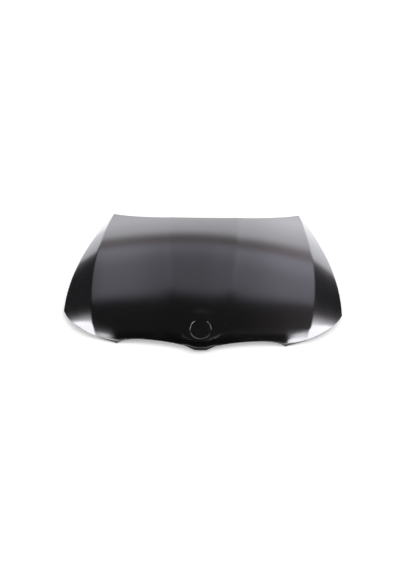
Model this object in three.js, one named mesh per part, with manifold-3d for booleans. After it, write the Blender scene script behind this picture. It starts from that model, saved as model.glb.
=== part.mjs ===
// Car bonnet: a pressed outer skin, hemmed all round over a pressed inner
// frame, with hinge and striker reinforcements, weld nuts and mastic pads.
// Millimetres. +X is the right side seen from the front, the nose points
// to -Y and +Z is up. The group is set with the underside on z = 0.
import * as THREE from 'three';
import Module from 'manifold-3d';

const wasm = await Module();
wasm.setup();

// Overall size in plan; every plan line below is a share of half of these
const panelWidth = 1502;
const panelLength = 1104;

// Sheets and hem
const skinThickness = 0.8;
const frameThickness = 0.7;
const hemClearance = 0.35;
const hemInnerRadius = frameThickness / 2 + hemClearance;
const hemOuterRadius = hemInnerRadius + skinThickness;
const hemFlangeWidth = 11.5;
const hemRingWidth = 12;
const frameEdgeInset = 0.5;
const frameEdgeDepth = skinThickness + hemClearance;
const cornerMitreLimit = 1.25;

// Crown of the panel
const crownHeight = 125;
const crownPeakY = 30;
const crownRearRadius = 2000;
const crownFrontRadius = 2700;
const acrossRadius = 4400;
const acrossFrontRadius = 5500;
const acrossFrontStartY = 200;
const acrossFrontEndY = -520;

// Outer crease and the side facet beyond it
const facetFrontSlope = 0.1;
const facetRearSlope = 0.34;
const facetFrontY = -330;
const facetRearY = 450;
const creaseSoftness = 7;

// Soft dome in the middle
const domeDrop = 5;
const domeReach = 70;
const domeSoftness = 26;
const domeFadeStartY = -360;
const domeFadeEndY = -180;

// Rolled nose: the lead line it follows, how far back it starts, its drop
const leadOverrun = 1;
const leadSetback = 48;
const leadSpread = 150;
const leadLampSetback = 34;
const leadLampSpread = 150;
const rollLength = 92;
const rollDrop = 50;

// Emblem seat: a round recess with a flat floor and two pin holes
const seatSetback = 87;
const seatHeight = 80;
const seatTilt = 0.21;
const seatRadius = 53;
const seatDepth = 2;
const seatFlatRadius = 62;
const seatBlendRadius = 86;
const pinHoleRadius = 4.25;
const pinHoleSpread = 25.5;
const seatCutoutGap = 92;

// Inner frame
const webDepth = 20;
const shoulderWidth = 2.5;
const shoulderDrop = 2.5;
const wallRun = 12;
const webPointSpacing = 74;
const flangeDepth = 4.6;
const flangeWidth = 12;
const flangeWallRun = 10;

// Plates, nuts and bolts
const seatingClearance = 0.3;
const hingePadInset = 65;
const hingePadSetback = 132;
const hingePadWidth = 44;
const hingePadLength = 96;
const hingePlateThickness = 2;
const hingeBoltSpacing = 60;
const hingeBoltHoleRadius = 4.5;
const hingeNutAcross = 13;
const hingeNutHeight = 6.5;
const hingeNutBore = 3.4;
const strikerPadWidth = 84;
const strikerPadLength = 42;
const strikerPlateThickness = 1.5;
const strikerBoltSpacing = 52;
const strikerBoltHoleRadius = 3.5;
const strikerNutAcross = 10;
const strikerNutHeight = 5;
const strikerNutBore = 2.5;
const plateMargin = 5;

// Mastic pads on the flanges
const masticLength = 26;
const masticWidth = 9;
const masticSkinGap = 0.95;
const masticSeatMargin = 40;

// A plan point from its shares of the half width and the half length
const at = (x, y) => new THREE.Vector2(x, y);
const plan = (across, along) => at(across * panelWidth / 2, along * panelLength / 2);
const curve = (...points) => new THREE.CubicBezierCurve(...points);

// Plan outline of the right half, nose to rear
const noseTip = plan(0, -0.998);
const noseCorner = plan(0.04, -0.993);
const lampCorner = plan(0.573, -0.917);
const sideCorner = plan(0.987, -0.583);
const rearCorner = plan(0.827, 1);
const rearMiddle = plan(0, 0.754);
const grilleEdge = curve(noseCorner, plan(0.189, -0.908), plan(0.505, -0.88), lampCorner);
const lampEdge = curve(lampCorner, plan(0.694, -0.873), plan(0.88, -0.835), sideCorner);
const sideEdge = curve(sideCorner, plan(1.043, 0.069), plan(0.9, 0.554), rearCorner);
const rearEdge = curve(rearMiddle, plan(0.228, 0.754), plan(0.597, 0.793), rearCorner);
const creaseLine = curve(plan(0.728, -0.859), plan(0.888, -0.078), plan(0.836, 0.19),
  plan(0.815, 0.987));
const domeLine = curve(plan(0.164, -0.942), plan(0.186, -0.37), plan(0.269, 0.203),
  plan(0.277, 0.775));
const seatY = noseTip.y + seatSetback;
const hingePadSpot = at(rearCorner.x - hingePadInset, rearCorner.y - hingePadSetback);
const strikerPadSpot = plan(0.439, -0.728);

// Stations along the front edge: to the dome line, to the lamp corner, to the crease, beyond it
const domeStations = [0, 0.12, 0.23];
const grilleStations = [0.38, 0.55, 0.72, 0.88];
const lampStations = [0, 0.12, 0.25, 0.38];
const facetStations = [0.52, 0.7, 1];
const rearCreaseShare = 0.921;
const rows = [0, 0.01, 0.022, 0.036, 0.052, 0.07, 0.095, 0.13, 0.18, 0.25, 0.33,
  0.42, 0.51, 0.6, 0.69, 0.78, 0.86, 0.93, 1];

function smooth(value) {
  const t = Math.min(1, Math.max(0, value));
  return t * t * (3 - 2 * t);
}

// A ramp that is zero below -soft, rises along a parabola and is straight above soft
function ramp(value, soft) {
  if (value <= -soft) return 0;
  if (value >= soft) return value;
  return (value + soft) ** 2 / (4 * soft);
}

// The x of a line that runs nose to rear, where it passes y
function acrossAt(line, y) {
  let low = 0;
  let high = 1;
  for (let step = 0; step < 26; step += 1) {
    const middle = (low + high) / 2;
    if (line.getPoint(middle).y < y) low = middle;
    else high = middle;
  }
  return line.getPoint(low).x;
}

// Height of the outer surface above the plan
function height(x, y) {
  const side = Math.abs(x);
  const along = y - crownPeakY;
  const crownRadius = along > 0 ? crownRearRadius : crownFrontRadius;
  const crown = crownHeight - along ** 2 / (2 * crownRadius);
  const frontShare = smooth((acrossFrontStartY - y) / (acrossFrontStartY - acrossFrontEndY));
  const bend = (1 - frontShare) / acrossRadius + frontShare / acrossFrontRadius;
  const across = side ** 2 * bend / 2;
  const rearShare = smooth((y - facetFrontY) / (facetRearY - facetFrontY));
  const facetSlope = facetFrontSlope + (facetRearSlope - facetFrontSlope) * rearShare;
  const facet = facetSlope * ramp(side - acrossAt(creaseLine, y), creaseSoftness);
  const domeShare = smooth((y - domeFadeStartY) / (domeFadeEndY - domeFadeStartY));
  const fromDome = ramp(side - acrossAt(domeLine, y), domeSoftness);
  const dome = domeDrop * domeShare * (1 - Math.exp(-fromDome / domeReach));
  const setback = leadSetback * (1 - Math.exp(-((side / leadSpread) ** 1.5)));
  const pastLamp = Math.max(0, side - lampCorner.x) / leadLampSpread;
  const lampSetback = leadLampSetback * (1 - Math.exp(-(pastLamp ** 1.3)));
  const lead = noseTip.y - leadOverrun + setback + lampSetback;
  const roll = rollDrop * (Math.max(0, lead + rollLength - y) / rollLength) ** 4;
  const free = crown - across - facet - dome - roll;
  const fromSeat = Math.hypot(x, y - seatY);
  const flat = smooth((seatBlendRadius - fromSeat) / (seatBlendRadius - seatFlatRadius));
  const seat = seatHeight + seatTilt * (y - seatY);
  return free + (seat - free) * flat;
}

function slopes(x, y) {
  const step = 0.5;
  const dx = (height(x + step, y) - height(x - step, y)) / (2 * step);
  const dy = (height(x, y + step) - height(x, y - step)) / (2 * step);
  return [dx, dy];
}

function normal(x, y) {
  const [dx, dy] = slopes(x, y);
  return new THREE.Vector3(-dx, -dy, 1).normalize();
}

// A point below the outer surface, measured along its normal
function place(x, y, depth) {
  const point = new THREE.Vector3(x, y, height(x, y));
  return point.addScaledVector(normal(x, y), -depth);
}

// A list of faces that is closed into one solid at the end
class Sheet {
  constructor() {
    this.points = [];
    this.faces = [];
  }

  add(point) {
    this.points.push(point.x, point.y, point.z);
    return this.points.length / 3 - 1;
  }

  addAll(points) {
    return points.map((point) => this.add(point));
  }

  face(a, b, c) {
    this.faces.push(a, b, c);
  }

  // Two closed rows of the same length joined by a band
  band(first, second) {
    for (let k = 0; k < first.length; k += 1) {
      const next = (k + 1) % first.length;
      this.face(first[k], first[next], second[next]);
      this.face(first[k], second[next], second[k]);
    }
  }

  // The same band facing the other way, split along the same diagonals
  bandBack(first, second) {
    for (let k = 0; k < first.length; k += 1) {
      const next = (k + 1) % first.length;
      this.face(first[k], second[next], first[next]);
      this.face(first[k], second[k], second[next]);
    }
  }

  solid() {
    const mesh = new wasm.Mesh({
      numProp: 3,
      vertProperties: new Float32Array(this.points),
      triVerts: new Uint32Array(this.faces),
    });
    mesh.merge();
    return new wasm.Manifold(mesh);
  }
}

// The grid of the panel in plan, right half: columns from the middle to the side edge
function lerp(a, b, t) {
  return a.clone().lerp(b, t);
}

function frontStations() {
  const grille = [...domeStations, ...grilleStations].map((t) => grilleEdge.getPoint(t));
  const lamp = [...lampStations, ...facetStations].map((t) => lampEdge.getPoint(t));
  return [noseTip, ...grille, ...lamp];
}

function rearPointAt(x) {
  let low = 0;
  let high = 1;
  for (let step = 0; step < 26; step += 1) {
    const middle = (low + high) / 2;
    if (rearEdge.getPoint(middle).x < x) low = middle;
    else high = middle;
  }
  return rearEdge.getPoint(low);
}

function halfGrid() {
  const front = frontStations();
  const last = front.length - 1;
  const spans = [0, domeStations.length, last - facetStations.length, last];
  const rearCreaseX = rearCreaseShare * rearCorner.x;
  const rearEnds = [rearMiddle, rearPointAt(domeLine.v3.x), rearPointAt(rearCreaseX), rearCorner];
  const creaseShift = (t) => (creaseLine.v3.x - rearCreaseX) * smooth((t - 0.7) / 0.3);
  const rails = [
    (t) => at(0, noseTip.y + (rearEnds[0].y - noseTip.y) * t),
    (t) => domeLine.getPoint(t),
    (t) => creaseLine.getPoint(t).sub(at(creaseShift(t), 0)),
    (t) => sideEdge.getPoint(t),
  ];
  const columns = [];
  for (let span = 0; span < 3; span += 1) {
    const start = spans[span];
    const end = spans[span + 1];
    for (let k = start; k <= end; k += 1) {
      if (k === start && span > 0) continue;
      const share = (front[k].x - front[start].x) / (front[end].x - front[start].x);
      const rearX = rearEnds[span].x + (rearEnds[span + 1].x - rearEnds[span].x) * share;
      const rear = rearPointAt(rearX);
      columns.push(rows.map((t) => {
        const plain = lerp(rails[span](t), rails[span + 1](t), share);
        const plainFront = lerp(rails[span](0), rails[span + 1](0), share);
        const plainRear = lerp(rails[span](1), rails[span + 1](1), share);
        plain.addScaledVector(front[k].clone().sub(plainFront), 1 - t);
        return plain.addScaledVector(rear.clone().sub(plainRear), t);
      }));
    }
  }
  return columns;
}

// Full grid: the mirrored half comes first, so columns run left to right
function fullGrid() {
  const right = halfGrid();
  const left = right.slice(1).reverse().map((column) => column.map((q) => at(-q.x, q.y)));
  return [...left, ...right];
}

// The rim of a grid, anticlockwise seen from above
function rim(grid) {
  const lastColumn = grid.length - 1;
  const lastRow = grid[0].length - 1;
  const loop = [];
  for (let k = 0; k < lastColumn; k += 1) loop.push([k, 0]);
  for (let k = 0; k < lastRow; k += 1) loop.push([lastColumn, k]);
  for (let k = lastColumn; k > 0; k -= 1) loop.push([k, lastRow]);
  for (let k = lastRow; k > 0; k -= 1) loop.push([0, k]);
  return loop;
}

// Inward plan direction and mitre at each point of a loop
function inwardAt(loop, k) {
  const here = loop[k];
  const before = loop[(k + loop.length - 1) % loop.length];
  const after = loop[(k + 1) % loop.length];
  const first = here.clone().sub(before).normalize();
  const second = after.clone().sub(here).normalize();
  const direction = at(-first.y - second.y, first.x + second.x).normalize();
  const half = Math.sqrt(Math.max(0.05, (1 + first.dot(second)) / 2));
  return { direction, mitre: Math.min(cornerMitreLimit, 1 / half) };
}

// The outline moved inward by a distance along the surface
function insetLoop(loop, distance) {
  return loop.map((point, k) => {
    const { direction, mitre } = inwardAt(loop, k);
    const [dx, dy] = slopes(point.x, point.y);
    const rise = dx * direction.x + dy * direction.y;
    const run = distance * mitre / Math.sqrt(1 + rise ** 2);
    return point.clone().addScaledVector(direction, run);
  });
}

const outlineGrid = fullGrid();
const outlineRim = rim(outlineGrid);
const outline = outlineRim.map(([column, row]) => outlineGrid[column][row]);

// The grid drawn in from the outline: its rim is the hem ring, its middle stays
function innerGrid() {
  const ring = insetLoop(outline, hemRingWidth);
  const shift = new Map();
  outlineRim.forEach(([column, row], k) => {
    shift.set(`${column},${row}`, ring[k].clone().sub(outline[k]));
  });
  const lastColumn = outlineGrid.length - 1;
  const lastRow = rows.length - 1;
  return outlineGrid.map((column, i) => column.map((point, j) => {
    const u = i / lastColumn;
    const t = rows[j];
    const moved = point.clone();
    if (shift.has(`${i},${j}`)) return moved.add(shift.get(`${i},${j}`));
    moved.addScaledVector(shift.get(`${i},0`), Math.max(0, 1 - 4 * t));
    moved.addScaledVector(shift.get(`${i},${lastRow}`), Math.max(0, 4 * t - 3));
    moved.addScaledVector(shift.get(`0,${j}`), Math.max(0, 1 - 6 * u));
    return moved.addScaledVector(shift.get(`${lastColumn},${j}`), Math.max(0, 6 * u - 5));
  }));
}

// Points of the fold round the edge: angle 0 is the outer surface, pi the flange
function foldPoint(k, radius, angle) {
  const point = outline[k];
  const { direction } = inwardAt(outline, k);
  const [dx, dy] = slopes(point.x, point.y);
  const rise = dx * direction.x + dy * direction.y;
  const outward = new THREE.Vector3(-direction.x, -direction.y, -rise).normalize();
  const centre = place(point.x, point.y, hemOuterRadius);
  centre.addScaledVector(normal(point.x, point.y), radius * Math.cos(angle));
  return centre.addScaledVector(outward, radius * Math.sin(angle));
}

// The two triangles of a grid cell, split along the diagonal that lies nearer to the surface
function splitCell(cell, spots) {
  const sag = (p, q) => Math.abs(height((p.x + q.x) / 2, (p.y + q.y) / 2)
    - (height(p.x, p.y) + height(q.x, q.y)) / 2);
  const [a, b, c, d] = cell;
  const first = sag(spots[0], spots[2]) < sag(spots[1], spots[3]);
  return first ? [[a, b, c], [a, c, d]] : [[a, b, d], [b, c, d]];
}

function outerSkin() {
  const sheet = new Sheet();
  const grid = innerGrid();
  const surface = (depth) => grid.map((column) => sheet.addAll(
    column.map((q) => place(q.x, q.y, depth))));
  const top = surface(0);
  const under = surface(skinThickness);
  for (let i = 0; i + 1 < grid.length; i += 1) {
    for (let j = 0; j + 1 < rows.length; j += 1) {
      const cell = [[i, j], [i + 1, j], [i + 1, j + 1], [i, j + 1]];
      splitCell(cell, cell.map(([a, b]) => grid[a][b])).forEach((corners) => {
        sheet.face(...corners.map(([a, b]) => top[a][b]));
        sheet.face(...corners.reverse().map(([a, b]) => under[a][b]));
      });
    }
  }
  const fold = (radius, angle) => sheet.addAll(outline.map((q, k) => foldPoint(k, radius, angle)));
  const flange = insetLoop(outline, hemFlangeWidth);
  const ringAt = (depth) => sheet.addAll(flange.map((q) => place(q.x, q.y, depth)));
  const outerBend = [0, 1, 2, 3, 4].map((k) => fold(hemOuterRadius, k * Math.PI / 4));
  const innerBend = [3, 2, 1, 0].map((k) => fold(hemInnerRadius, k * Math.PI / 3));
  const topRim = outlineRim.map(([column, row]) => top[column][row]);
  const underRim = outlineRim.map(([column, row]) => under[column][row]);
  const flangeUnder = ringAt(2 * hemOuterRadius);
  const flangeTop = ringAt(2 * hemOuterRadius - skinThickness);
  const section = [topRim, ...outerBend, flangeUnder, flangeTop, ...innerBend, underRim];
  const drawnIn = [flangeUnder, underRim];
  for (let k = 0; k + 1 < section.length; k += 1) {
    if (drawnIn.includes(section[k + 1])) sheet.bandBack(section[k], section[k + 1]);
    else sheet.band(section[k + 1], section[k]);
  }
  return emblemSeat(sheet.solid());
}

// A cylinder along the tilted axis of the emblem seat, between two depths
const seatNormal = new THREE.Vector3(0, -seatTilt, 1).normalize();
const seatCentre = new THREE.Vector3(0, seatY, seatHeight);

function cylinderSolid(radius, depthTop, depthBottom, segments, centre, axis) {
  const geometry = new THREE.CylinderGeometry(radius, radius, depthBottom - depthTop, segments);
  const turn = new THREE.Quaternion().setFromUnitVectors(new THREE.Vector3(0, 1, 0), axis);
  geometry.applyQuaternion(turn);
  const middle = centre.clone().addScaledVector(axis, -(depthTop + depthBottom) / 2);
  geometry.translate(middle.x, middle.y, middle.z);
  return solidOf(geometry);
}

function solidOf(geometry) {
  const sheet = new Sheet();
  const position = geometry.getAttribute('position');
  for (let k = 0; k < position.count; k += 1) {
    sheet.add(new THREE.Vector3().fromBufferAttribute(position, k));
  }
  const index = geometry.index;
  const count = index ? index.count : position.count;
  for (let k = 0; k < count; k += 1) sheet.faces.push(index ? index.getX(k) : k);
  const corners = new Map();
  const same = [];
  for (let k = 0; k < position.count; k += 1) {
    const key = [0, 1, 2].map((part) => Math.round(sheet.points[3 * k + part] * 1e4)).join(',');
    if (!corners.has(key)) corners.set(key, k);
    same.push(corners.get(key));
  }
  const faces = [];
  for (let k = 0; k < sheet.faces.length; k += 3) {
    const [a, b, c] = [0, 1, 2].map((part) => same[sheet.faces[k + part]]);
    if (a !== b && b !== c && c !== a) faces.push(a, b, c);
  }
  sheet.faces = faces;
  return sheet.solid();
}

function emblemSeat(skin) {
  const cup = cylinderSolid(seatRadius + skinThickness, 0.4, seatDepth + skinThickness, 48,
    seatCentre, seatNormal);
  const hollow = cylinderSolid(seatRadius, -10, seatDepth, 48, seatCentre, seatNormal);
  const pins = [-pinHoleSpread, pinHoleSpread].map((x) => cylinderSolid(pinHoleRadius, -1, 6, 12,
    new THREE.Vector3(x, seatY, seatHeight), seatNormal));
  return skin.add(cup).subtract(hollow).subtract(pins[0]).subtract(pins[1]);
}

// A closed plan loop with rounded corners; long sides get extra points
function roundedLoop(corners, radius, longest = 75) {
  const loop = [];
  const count = corners.length;
  for (let k = 0; k < count; k += 1) {
    const before = corners[(k + count - 1) % count];
    const here = corners[k];
    const after = corners[(k + 1) % count];
    const back = before.clone().sub(here).normalize();
    const ahead = after.clone().sub(here).normalize();
    const halfTurn = Math.acos(back.dot(ahead)) / 2;
    const setback = radius / Math.tan(halfTurn);
    const start = here.clone().addScaledVector(back, setback);
    const end = here.clone().addScaledVector(ahead, setback);
    const arc = new THREE.QuadraticBezierCurve(start, here, end).getPoints(3);
    if (loop.length > 0) addAlong(loop, loop[loop.length - 1], start, longest);
    loop.push(...arc);
  }
  addAlong(loop, loop[loop.length - 1], loop[0], longest);
  return loop;
}

function addAlong(loop, from, to, longest) {
  const pieces = Math.ceil(from.distanceTo(to) / longest);
  for (let k = 1; k < pieces; k += 1) loop.push(lerp(from, to, k / pieces));
}

function grow(loop, distance) {
  return loop.map((point, k) => {
    const { direction, mitre } = inwardAt(loop, k);
    return point.clone().addScaledVector(direction, -distance * mitre);
  });
}

const mirrored = (loop) => loop.map((q) => at(-q.x, q.y)).reverse();

// Cut-outs between the ribs, as corners of the right half or the middle
const middleCutoutFront = seatY + seatCutoutGap;
const middleCutoutHalf = plan(0.096, 0).x;
const middleCutout = [at(-middleCutoutHalf, middleCutoutFront),
  at(middleCutoutHalf, middleCutoutFront), plan(0.21, 0.576), plan(-0.21, 0.576)];
const ribCutout = [plan(0.208, -0.601), plan(0.458, -0.601), plan(0.589, 0.638),
  plan(0.322, 0.583)];
const sideCutout = [plan(0.573, -0.601), plan(0.783, -0.601), plan(0.889, -0.475),
  plan(0.892, -0.109), plan(0.823, 0.42), plan(0.786, 0.576), plan(0.708, 0.576)];
const cutouts = [
  roundedLoop(middleCutout, 34),
  roundedLoop(ribCutout, 34),
  mirrored(roundedLoop(ribCutout, 34)),
  roundedLoop(sideCutout, 24),
  mirrored(roundedLoop(sideCutout, 24)),
];

function padFrame(x, y, depth) {
  const centre = place(x, y, depth);
  const up = normal(x, y);
  const right = new THREE.Vector3(1, 0, 0).addScaledVector(up, -up.x).normalize();
  const rear = up.clone().cross(right);
  return { centre, up, right, rear };
}

// Points of a rectangle that lies flat in the frame of a pad
function padCorners(pad, width, length) {
  return [[-1, -1], [1, -1], [1, 1], [-1, 1]].map(([a, b]) => pad.centre.clone()
    .addScaledVector(pad.right, a * width / 2).addScaledVector(pad.rear, b * length / 2));
}

const padPair = (spot) => [1, -1].map((side) => padFrame(side * spot.x, spot.y, webDepth));
const hingePads = padPair(hingePadSpot);
const strikerPads = padPair(strikerPadSpot);

// Offset polygon inside a loop, by the plan offset of the cross-section class
function plainInset(loop, distance) {
  const section = new wasm.CrossSection([loop.map((q) => [q.x, q.y])], 'Positive');
  const polygon = section.offset(-distance, 'Miter', 1.5).simplify(0.8).toPolygons()[0];
  return polygon.map(([x, y]) => at(x, y));
}

// Points spread inside a plan region, clear of its edges
function spreadPoints(contour, holes) {
  const section = new wasm.CrossSection(
    [contour, ...holes.map((loop) => loop.slice().reverse())].map(
      (loop) => loop.map((q) => [q.x, q.y])), 'EvenOdd');
  const rings = section.offset(-webPointSpacing / 3, 'Round').toPolygons();
  const isInside = (x, y) => rings.reduce((inside, ring) => ring.reduce((state, [x1, y1], k) => {
    const [x2, y2] = ring[(k + 1) % ring.length];
    const crosses = (y1 > y) !== (y2 > y) && x < x1 + (x2 - x1) * (y - y1) / (y2 - y1);
    return crosses ? !state : state;
  }, inside), false);
  const spots = [];
  for (let j = -10; j <= 10; j += 1) {
    const offset = (j % 2) / 2;
    for (let k = -14; k <= 14; k += 1) {
      const x = (k + offset) * webPointSpacing;
      const y = j * webPointSpacing * 0.87;
      if (isInside(x, y)) spots.push(at(x, y));
    }
  }
  return spots;
}

// Twice the area of a plan triangle, positive when it runs anticlockwise
function turnOf(a, b, c) {
  return b.clone().sub(a).cross(c.clone().sub(a));
}

// Splits the triangle that holds a point into three
function addInside(points, faces, id) {
  const q = points[id];
  const found = faces.findIndex(([a, b, c]) => [[a, b], [b, c], [c, a]]
    .every(([u, v]) => turnOf(points[u], points[v], q) > 0.5));
  if (found < 0) return;
  const [a, b, c] = faces[found];
  faces.splice(found, 1, [a, b, id], [b, c, id], [c, a, id]);
}

// Swaps the side shared by two triangles wherever that makes both less thin
function evenOut(points, faces) {
  const cornerAngle = (tip, a, b) => {
    const first = points[a].clone().sub(points[tip]);
    const second = points[b].clone().sub(points[tip]);
    return Math.acos(first.dot(second) / (first.length() * second.length()));
  };
  const area = (a, b, c) => turnOf(points[a], points[b], points[c]);
  for (let pass = 0; pass < 40; pass += 1) {
    const owners = new Map();
    faces.forEach((face, f) => face.forEach((a, k) => {
      const b = face[(k + 1) % 3];
      const side = a < b ? `${a},${b}` : `${b},${a}`;
      owners.set(side, [...(owners.get(side) ?? []), f]);
    }));
    const touched = new Set();
    owners.forEach((pair, side) => {
      if (pair.length < 2 || pair.some((f) => touched.has(f))) return;
      let [a, b] = side.split(',').map(Number);
      const face = faces[pair[0]];
      if (face[(face.indexOf(a) + 1) % 3] !== b) [a, b] = [b, a];
      const [c, d] = pair.map((f) => faces[f].find((v) => v !== a && v !== b));
      if (cornerAngle(c, a, b) + cornerAngle(d, a, b) < Math.PI + 0.001) return;
      if (area(a, d, c) < 1 || area(d, b, c) < 1) return;
      faces[pair[0]] = [a, d, c];
      faces[pair[1]] = [d, b, c];
      pair.forEach((f) => touched.add(f));
    });
    if (touched.size === 0) break;
  }
  return faces;
}

function innerFrame() {
  const sheet = new Sheet();
  const edge = insetLoop(outline, frameEdgeInset);
  const ring = insetLoop(outline, hemRingWidth);
  const shoulder = insetLoop(outline, hemRingWidth + shoulderWidth);
  const wallFoot = plainInset(shoulder, wallRun);
  const padLoops = [...hingePads.map((pad) => padCorners(pad, hingePadWidth, hingePadLength)),
    ...strikerPads.map((pad) => padCorners(pad, strikerPadWidth, strikerPadLength))];
  const feet = cutouts.map((loop) => grow(loop, flangeWidth + flangeWallRun));
  const flats = padLoops.map((loop) => loop.map((q) => at(q.x, q.y)));
  const spots = spreadPoints(wallFoot, [...feet, ...flats]);
  const skinSide = [0, frameThickness].map((extra) => {
    const put = (loop, depth) => sheet.addAll(loop.map((q) => place(q.x, q.y, depth + extra)));
    const pads = padLoops.map((loop, k) => {
      const { up } = [...hingePads, ...strikerPads][k];
      return sheet.addAll(loop.map((q) => q.clone().addScaledVector(up, -extra)));
    });
    return {
      edge: put(edge, frameEdgeDepth),
      ring: put(ring, frameEdgeDepth),
      shoulder: put(shoulder, frameEdgeDepth + shoulderDrop),
      wallFoot: put(wallFoot, webDepth),
      inner: cutouts.map((loop) => put(loop, flangeDepth)),
      outer: cutouts.map((loop) => put(grow(loop, flangeWidth), flangeDepth)),
      foot: feet.map((loop) => put(loop, webDepth)),
      spots: put(spots, webDepth),
      pads,
    };
  });
  skinSide.forEach((level, side) => {
    const facing = (a, b, c) => (side === 0 ? sheet.face(a, b, c) : sheet.face(a, c, b));
    const strip = (a, b) => (side === 0 ? sheet.band(b, a) : sheet.bandBack(b, a));
    const fill = (contour, holes, contourIds, holeIds, extra = [], extraIds = []) => {
      const ids = [...contourIds, ...holeIds.flat(), ...extraIds];
      const points = [...contour, ...holes.flat(), ...extra];
      const faces = THREE.ShapeUtils.triangulateShape(contour, holes);
      extra.forEach((q, k) => addInside(points, faces, points.length - extra.length + k));
      evenOut(points, faces).forEach(([a, b, c]) => facing(ids[a], ids[b], ids[c]));
    };
    strip(level.ring, level.edge);
    strip(level.shoulder, level.ring);
    fill(shoulder, [wallFoot], level.shoulder, [level.wallFoot]);
    fill(wallFoot, [...feet, ...flats], level.wallFoot, [...level.foot, ...level.pads],
      spots, level.spots);
    level.pads.forEach((ids, k) => fill(flats[k], [], ids, []));
    cutouts.forEach((loop, k) => {
      strip(level.inner[k], level.outer[k]);
      strip(level.outer[k], level.foot[k]);
    });
  });
  const [top, under] = skinSide;
  sheet.band(under.edge, top.edge);
  cutouts.forEach((loop, k) => sheet.band(top.inner[k], under.inner[k]));
  const holes = [
    ...hingePads.flatMap((pad) => boltHoles(pad, 'rear', hingeBoltSpacing, hingeBoltHoleRadius)),
    ...strikerPads.flatMap((pad) => boltHoles(pad, 'right', strikerBoltSpacing,
      strikerBoltHoleRadius)),
  ];
  return holes.reduce((solid, hole) => solid.subtract(hole), sheet.solid());
}

// Cylinders that cut the two bolt holes of a pad
function boltHoles(pad, direction, spacing, radius) {
  return [-1, 1].map((side) => cylinderSolid(radius, -4, 4, 16,
    pad.centre.clone().addScaledVector(pad[direction], side * spacing / 2), pad.up));
}

// A flat piece drawn in the frame of a pad, between two heights above the pad
function onPad(pad, shape, from, to) {
  const geometry = new THREE.ExtrudeGeometry(shape, {
    depth: to - from, bevelEnabled: false, curveSegments: 4,
  });
  geometry.translate(0, 0, from);
  const turn = new THREE.Matrix4().makeBasis(pad.right, pad.rear, pad.up);
  turn.setPosition(pad.centre);
  geometry.applyMatrix4(turn);
  return solidOf(geometry);
}

function plateShape(width, length, holes, holeRadius) {
  const corner = 7;
  const [x, y] = [width / 2 - plateMargin, length / 2 - plateMargin];
  const shape = new THREE.Shape();
  shape.absarc(x - corner, y - corner, corner, 0, Math.PI / 2);
  shape.absarc(corner - x, y - corner, corner, Math.PI / 2, Math.PI);
  shape.absarc(corner - x, corner - y, corner, Math.PI, 1.5 * Math.PI);
  shape.absarc(x - corner, corner - y, corner, 1.5 * Math.PI, 2 * Math.PI);
  holes.forEach(([hx, hy]) => {
    shape.holes.push(new THREE.Path().absarc(hx, hy, holeRadius, 0, 2 * Math.PI, true));
  });
  return shape;
}

function nutShape(across, bore, x, y) {
  const corners = [0, 1, 2, 3, 4, 5].map((k) => at(
    x + across / Math.sqrt(3) * Math.cos(k * Math.PI / 3),
    y + across / Math.sqrt(3) * Math.sin(k * Math.PI / 3)));
  const shape = new THREE.Shape(corners);
  shape.holes.push(new THREE.Path().absarc(x, y, bore, 0, 2 * Math.PI, true));
  return shape;
}

// A mastic pad: a flat bead with round ends, from just above the flange to near the skin
function masticPad(middle, along) {
  const across = at(-along.y, along.x);
  const half = masticLength / 2 - masticWidth / 2;
  const ends = [];
  for (let k = 0; k <= 4; k += 1) ends.push([1, -Math.PI / 2 + k * Math.PI / 4]);
  for (let k = 0; k <= 4; k += 1) ends.push([-1, Math.PI / 2 + k * Math.PI / 4]);
  const loop = ends.map(([end, angle]) => middle.clone()
    .addScaledVector(along, end * half + masticWidth / 2 * Math.cos(angle))
    .addScaledVector(across, masticWidth / 2 * Math.sin(angle)));
  const sheet = new Sheet();
  const upper = sheet.addAll(loop.map((q) => place(q.x, q.y, skinThickness + masticSkinGap)));
  const lower = sheet.addAll(loop.map((q) => place(q.x, q.y, flangeDepth - seatingClearance)));
  sheet.band(lower, upper);
  for (let k = 1; k + 1 < loop.length; k += 1) {
    sheet.face(upper[0], upper[k], upper[k + 1]);
    sheet.face(lower[0], lower[k + 1], lower[k]);
  }
  return sheet.solid();
}

// Middles and directions of evenly chosen straight stretches of a flange, clear of the seat
function masticSpots(loop, count) {
  const middle = grow(loop, flangeWidth / 2);
  const seatSpot = at(0, seatY);
  const nearest = seatBlendRadius + masticSeatMargin;
  const stretches = middle.map((q, k) => [q, middle[(k + 1) % middle.length]])
    .filter(([a, b]) => a.distanceTo(b) > masticLength + 6)
    .filter(([a, b]) => lerp(a, b, 0.5).distanceTo(seatSpot) > nearest);
  return Array.from({ length: count }, (_, k) => {
    const [a, b] = stretches[Math.floor((k + 0.5) * stretches.length / count)];
    return { spot: lerp(a, b, 0.5), along: b.clone().sub(a).normalize() };
  });
}

// Everything as named meshes
const finishes = {
  coat: { color: 0x17171a, roughness: 0.22, metalness: 0.0 },
  primer: { color: 0x1c1c1f, roughness: 0.45, metalness: 0.0 },
  zinc: { color: 0xb9b7ae, roughness: 0.35, metalness: 0.9 },
  mastic: { color: 0x2c2b29, roughness: 0.85, metalness: 0.0 },
};

const bonnet = new THREE.Group();
bonnet.name = 'bonnet';

function addPiece(name, solid, finish) {
  const mesh = solid.getMesh();
  const geometry = new THREE.BufferGeometry();
  geometry.setAttribute('position', new THREE.BufferAttribute(
    new Float32Array(mesh.vertProperties), 3));
  geometry.setIndex(Array.from(mesh.triVerts));
  geometry.computeVertexNormals();
  const piece = new THREE.Mesh(geometry, new THREE.MeshStandardMaterial(finishes[finish]));
  piece.name = name;
  bonnet.add(piece);
}

addPiece('outer_skin', outerSkin(), 'coat');
addPiece('inner_frame', innerFrame(), 'primer');

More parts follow.
